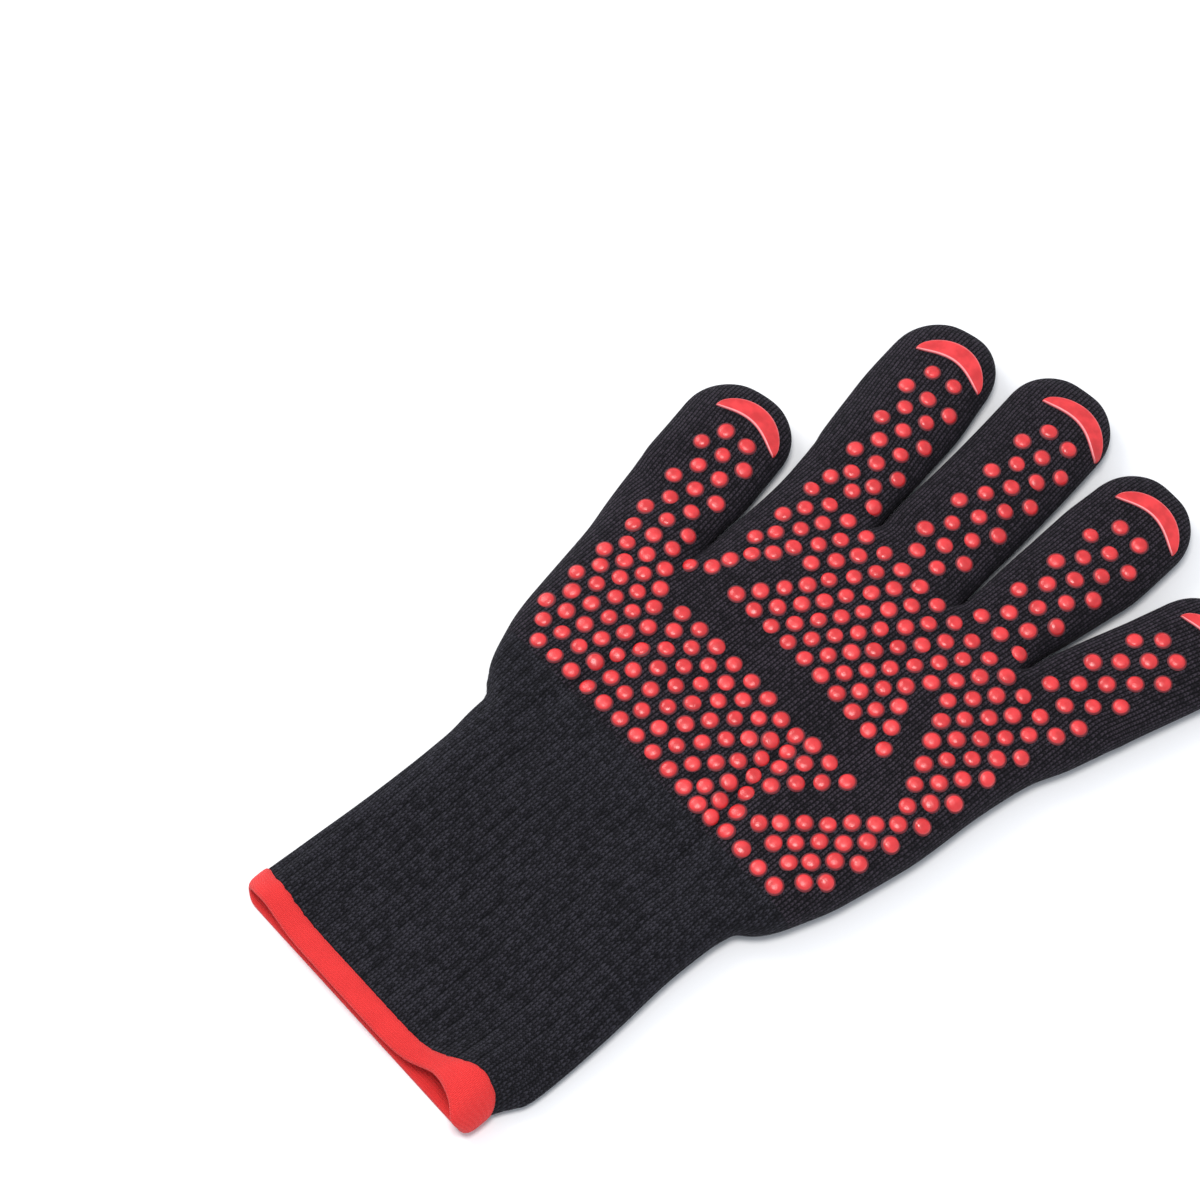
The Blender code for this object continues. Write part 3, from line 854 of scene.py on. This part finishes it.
def drop(x, y):
    """The skin's top point under (x, y), its normal and its face."""
    hit, normal, face, _ = surface.ray_cast(Vector((x, y, 60)), Vector((0, 0, -1)))
    if hit is None:
        return None, None, None
    return np.array(hit), np.array(normal), face


# The dome in section: share of the radius, share of the height. Its dark rim of painted shade starts at
# RIM_START.
DOME = ((0.0, 1.03), (0.26, 0.99), (0.48, 0.88), (0.64, 0.71), (0.75, 0.47), (0.81, 0.2), (0.88, 0.09),
        (0.97, 0.04), (1.0, -0.3))
DOME_SIDES = 20
RIM_START, RIM_RUN = 0.74, 0.12
rng = np.random.default_rng(11)


def add_dome(store, centre, normal, radius, height, stretch, turn):
    """A printed dome: rings from its crown down into the knit."""
    side = np.cross(normal, (0.0, 1.0, 0.0))
    side /= np.linalg.norm(side)
    up = np.cross(side, normal)
    base = len(store["points"])
    store["points"].append(centre + normal * height * DOME[0][1])
    store["painted_shade_rim"].append(0.0)
    for share, level in DOME[1:]:
        for k in range(DOME_SIDES):
            angle = 2 * math.pi * k / DOME_SIDES
            x = math.cos(angle) * share * radius * stretch
            y = math.sin(angle) * share * radius / stretch
            x, y = x * math.cos(turn) - y * math.sin(turn), x * math.sin(turn) + y * math.cos(turn)
            store["points"].append(centre + side * x + up * y + normal * height * level)
            # Painted shade: the rings from RIM_START outwards darken towards the dome's base.
            store["painted_shade_rim"].append(max(0.0, min(1.0, (share - RIM_START) / RIM_RUN)))
    for k in range(DOME_SIDES):
        j = (k + 1) % DOME_SIDES
        store["faces"].append((base, base + 1 + k, base + 1 + j))
        for r in range(len(DOME) - 2):
            a = base + 1 + r * DOME_SIDES
            b = a + DOME_SIDES
            store["faces"].append((a + k, b + k, b + j, a + j))


dots = {}
for x, y in dot_centres():
    point, normal, face = drop(x, y)
    if point is None:
        continue
    normal = normal + rng.normal(0, 0.03, 3)
    normal /= np.linalg.norm(normal)
    store = dots.setdefault(int(piece_of_face[face]), dict(points=[], faces=[], painted_shade_rim=[]))
    add_dome(store, point, normal, DOT_RADIUS * rng.uniform(0.95, 1.04), DOT_HEIGHT * rng.uniform(0.9, 1.1),
             rng.uniform(0.97, 1.03), rng.uniform(0, math.pi))

# ---------------------------------------------------------------- fingertip crescents
# Its two tips (x, y, x, y), how far its outer edge rises past their line, and how far its inner edge does.
CRESCENTS = {
    "thumb": dict(tips=(-80.8, 99.2, -54.1, 100.8), rise=10.3, hollow=3.3),
    "index": dict(tips=(-53.6, 166.2, -27.1, 169.9), rise=10.5, hollow=3.4),
    "middle": dict(tips=(-10.2, 183.4, 16.9, 181.8), rise=10.0, hollow=3.5),
    "ring": dict(tips=(31.9, 175.6, 59.2, 174.8), rise=10.0, hollow=3.8),
    "little": dict(tips=(77.2, 159.5, 101.4, 153.2), rise=9.7, hollow=3.6),
}


LONG_STEPS, WIDE_STEPS = 48, 14


def crescent(tips, rise, hollow):
    """A raised crescent that follows the fingertip."""
    a, b = np.array(tips[:2]), np.array(tips[2:])
    middle, half = (a + b) / 2, np.linalg.norm(b - a) / 2
    across = (b - a) / (2 * half)
    ahead = np.array([-across[1], across[0]])
    store = dict(points=[], faces=[], painted_shade_rim=[], lip=[])
    for i in range(LONG_STEPS + 1):
        angle = math.pi * (1 - i / LONG_STEPS)
        inner = middle + across * (half - 0.2) * math.cos(angle) + ahead * hollow * math.sin(angle) ** 3.2
        outer = middle + across * half * math.cos(angle) + ahead * rise * math.sin(angle) ** 1.2
        for j in range(WIDE_STEPS + 1):
            t = j / WIDE_STEPS
            ease = 0.5 - 0.5 * math.cos(math.pi * t)
            p = inner + (outer - inner) * ease
            point, normal, _ = drop(*p)
            if point is None:
                point, normal = np.array([p[0], p[1], HALF]), np.array([0.0, 0.0, 1.0])
            edge = min(t, 1 - t) * 2
            ends = min(1.0, math.sin(angle) * 3.0)
            lift = 0.9 * min(1.0, edge * 4.0) ** 0.5 * ends ** 0.5 - 0.25 * (edge < 0.01)
            lift += 0.16 * math.exp(-(((edge - 0.22) / 0.12) ** 2)) * ends
            store["points"].append(point + normal * lift)
            # Painted shade darkens the crescent's two edges; a painted highlight brightens a band just inside
            # them, stronger along the inner edge.
            store["painted_shade_rim"].append(1.0 if edge < 0.01 else 0.0)
            store["lip"].append((0.8 if t < 0.5 else 0.35) * (0.01 < edge < 0.3))
    for i in range(LONG_STEPS):
        for j in range(WIDE_STEPS):
            p = i * (WIDE_STEPS + 1) + j
            q = p + WIDE_STEPS + 1
            store["faces"].append((p, p + 1, q + 1, q))
    return store


def printed_object(name, store):
    """One silicone piece, with its dark edge of painted shade and its bright edge of painted highlight as
    attributes. Only a crescent has a bright edge.
    """
    obj = object_from(name, np.array(store["points"]) * MM, store["faces"])
    obj.data.polygons.foreach_set("use_smooth", [True] * len(obj.data.polygons))
    no_edge = [0.0] * len(store["points"])
    for edge in ("painted_shade_rim", "lip"):
        attribute = obj.data.attributes.new(edge, "FLOAT", "POINT")
        attribute.data.foreach_set("value", store.get(edge, no_edge))
    obj.data.materials.append(silicone)
    return obj


# ---------------------------------------------------------------- pieces on their bodies
def attach(obj, bodies):
    """Rides on its one body; a piece between two bodies only has its transform baked in."""
    if len(bodies) == 1:
        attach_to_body(obj, bodies[0])
    else:
        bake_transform(obj)


DOT_NODES = {"palm_skin": ["upper_palm_dots", "heel_dots", "wrist_row_dots", "thumb_side_dots",
                           "thumb_web_dots", "outer_edge_dots"]}
for k, (name, mask, bodies, start, end, nodes) in enumerate(pieces):
    obj = split_piece(name, mask)
    ribbed = name in ("cuff_skin", "wrist_skin")
    obj.data.materials.append(rib_knit if ribbed else jersey)
    attach(obj, bodies)
    for node in nodes:
        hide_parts(node + "_shell")
        if node != "cuff":
            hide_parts(node + "_liner")
    if k in dots:
        dot_name = name.replace("_skin", "_grip_dots")
        printed = printed_object(dot_name, dots[k])
        attach(printed, bodies)
        for node in DOT_NODES.get(name, [n + "_dots" for n in nodes]):
            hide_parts(node)
    if name.endswith("_tip_skin"):
        finger = name[:-len("_tip_skin")]
        shape = printed_object(finger + "_tip_crescent", crescent(**CRESCENTS[finger]))
        attach(shape, bodies)
        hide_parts(finger + "_crescent")


# ---------------------------------------------------------------- hem and lining
LOOP_POINTS = 360
LOOP_SMOOTHING = 12


def mouth_loop(y):
    """Points round the cuff at y, along the top from the left and back along the bottom, evenly spaced."""
    top, bottom = palm_row(y)
    loop = np.vstack([top, bottom[-2:0:-1]])
    closed = np.vstack([loop, loop[:1]])
    steps = np.concatenate([[0], np.cumsum(np.linalg.norm(np.diff(closed, axis=0), axis=1))])
    at = np.linspace(0, steps[-1], LOOP_POINTS + 1)[:-1]
    even = np.column_stack([np.interp(at, steps, closed[:, k]) for k in range(3)])
    for _ in range(LOOP_SMOOTHING):
        even[:, [0, 2]] = (np.roll(even, 1, axis=0) + even * 2 + np.roll(even, -1, axis=0))[:, [0, 2]] / 4
    ahead = np.roll(even, -1, axis=0) - np.roll(even, 1, axis=0)
    out = np.column_stack([-ahead[:, 2], np.zeros(len(even)), ahead[:, 0]])
    out /= np.linalg.norm(out, axis=1)[:, None]
    return even, out, at


# The hem in section: offset out of the cuff's skin, and distance from the mouth towards the arm.
HEM_PROFILE = ((0.0, -0.6), (0.45, 0.0), (0.75, 0.5), (0.9, 1.5), (0.95, 3.0), (0.9, 4.8), (0.75, 6.2),
               (0.35, 7.1), (-0.4, 7.5), (-1.1, 7.3), (-1.55, 6.6), (-1.7, 5.2), (-1.7, 3.0), (-1.7, 0.5),
               (-1.5, -1.2), (-1.3, -1.8))
LOWEST_HEM_Z = 0.12


def swept(name, rings, material):
    """A tube from rings of (y, offset, extra distance towards the arm), with u round it and v along it."""
    points_out, uv_rows, run, before = [], [], 0.0, None
    for y, offset, ahead in rings:
        even, out, at = mouth_loop(y)
        if before is not None:
            run += math.hypot(offset - before[0], y - ahead - before[1])
        before = (offset, y - ahead)
        ring = even + out * offset
        ring[:, 1] -= ahead
        ring[:, 2] = np.maximum(ring[:, 2], LOWEST_HEM_Z)
        points_out.append(mouth_shaped(ring))
        uv_rows.append(run)
    count = len(even)
    faces, uv = [], []
    for r in range(len(rings) - 1):
        for c in range(count):
            d = (c + 1) % count
            faces.append((r * count + c, (r + 1) * count + c, (r + 1) * count + d, r * count + d))
            end_u = at[d] if d else at[-1] + at[1]
            low, high = uv_rows[r], uv_rows[r + 1]
            uv.append([(at[c], low), (at[c], high), (end_u, high), (end_u, low)])
    obj = object_from(name, np.vstack(points_out) * MM, faces)
    layer = obj.data.uv_layers.new(name="knit")
    layer.data.foreach_set("uv", np.array(uv).ravel())
    obj.data.polygons.foreach_set("use_smooth", [True] * len(faces))
    obj.data.materials.append(material)
    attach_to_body(obj, "cuff")
    return obj


hem = swept("hem_band", [(MOUTH_Y, offset, ahead) for offset, ahead in HEM_PROFILE], hem_red)
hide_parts("hem_binding")
LINING_END_Y = -36.0
LINING_OFFSET = -1.25
lining_rings = [(y, LINING_OFFSET, 0.0) for y in np.arange(MOUTH_Y + 1.0, LINING_END_Y, 4.0)]
inner = swept("cuff_lining", lining_rings, lining)
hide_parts("cuff_liner")

bpy.data.objects.remove(skin)

# ---------------------------------------------------------------- floor, light and camera
FLOOR_Z = -0.0001
FLOOR_HALF = 3
corners = ((-1, -1), (1, -1), (1, 1), (-1, 1))
floor = object_from("floor", [(FLOOR_HALF * x, FLOOR_HALF * y, FLOOR_Z) for x, y in corners], [(0, 1, 2, 3)])
n = Nodes("pale_floor")
n.shader.inputs["Base Color"].default_value = (0.90, 0.90, 0.91, 1)
n.shader.inputs["Roughness"].default_value = 0.75
floor.data.materials.append(n.material)

AIM = Vector((-0.0556, 0.0258, 0.0))
CAMERA_PLACE = (0.2902, -0.2730, 0.8596)
SENSOR_MM, LENS_MM = 36.0, 88.5


def area(name, offset, size, power, colour):
    """A round soft light at an offset from the aim, pointing at it."""
    data = bpy.data.lights.new(name, "AREA")
    data.shape = "DISK"
    data.size = size
    data.energy = power
    data.color = colour
    obj = bpy.data.objects.new(name, data)
    bpy.context.scene.collection.objects.link(obj)
    obj.location = AIM + Vector(offset)
    obj.rotation_mode = "QUATERNION"
    obj.rotation_quaternion = (-Vector(offset)).to_track_quat("-Z", "Y")


area("overhead_softbox", (0.10, -0.12, 1.2), 0.42, 8.0, (1.0, 0.97, 0.94))
area("side_softbox", (-1.1, -0.1, 0.9), 0.9, 9.0, (1.0, 0.98, 0.95))
world = bpy.data.worlds.new("studio")
bpy.context.scene.world = world
world.use_nodes = True
background = world.node_tree.nodes["Background"]
background.inputs["Color"].default_value = (0.86, 0.92, 1.0, 1)
background.inputs["Strength"].default_value = 0.74

camera_data = bpy.data.cameras.new("camera")
camera_data.sensor_width = SENSOR_MM
camera_data.lens = LENS_MM
camera_data.clip_start, camera_data.clip_end = 0.05, 20.0
camera = bpy.data.objects.new("camera", camera_data)
bpy.context.scene.collection.objects.link(camera)
camera.location = CAMERA_PLACE
camera.rotation_mode = "QUATERNION"
camera.rotation_quaternion = (AIM - camera.location).to_track_quat("-Z", "Y")
bpy.context.scene.camera = camera
bpy.context.scene.view_settings.view_transform = "Standard"
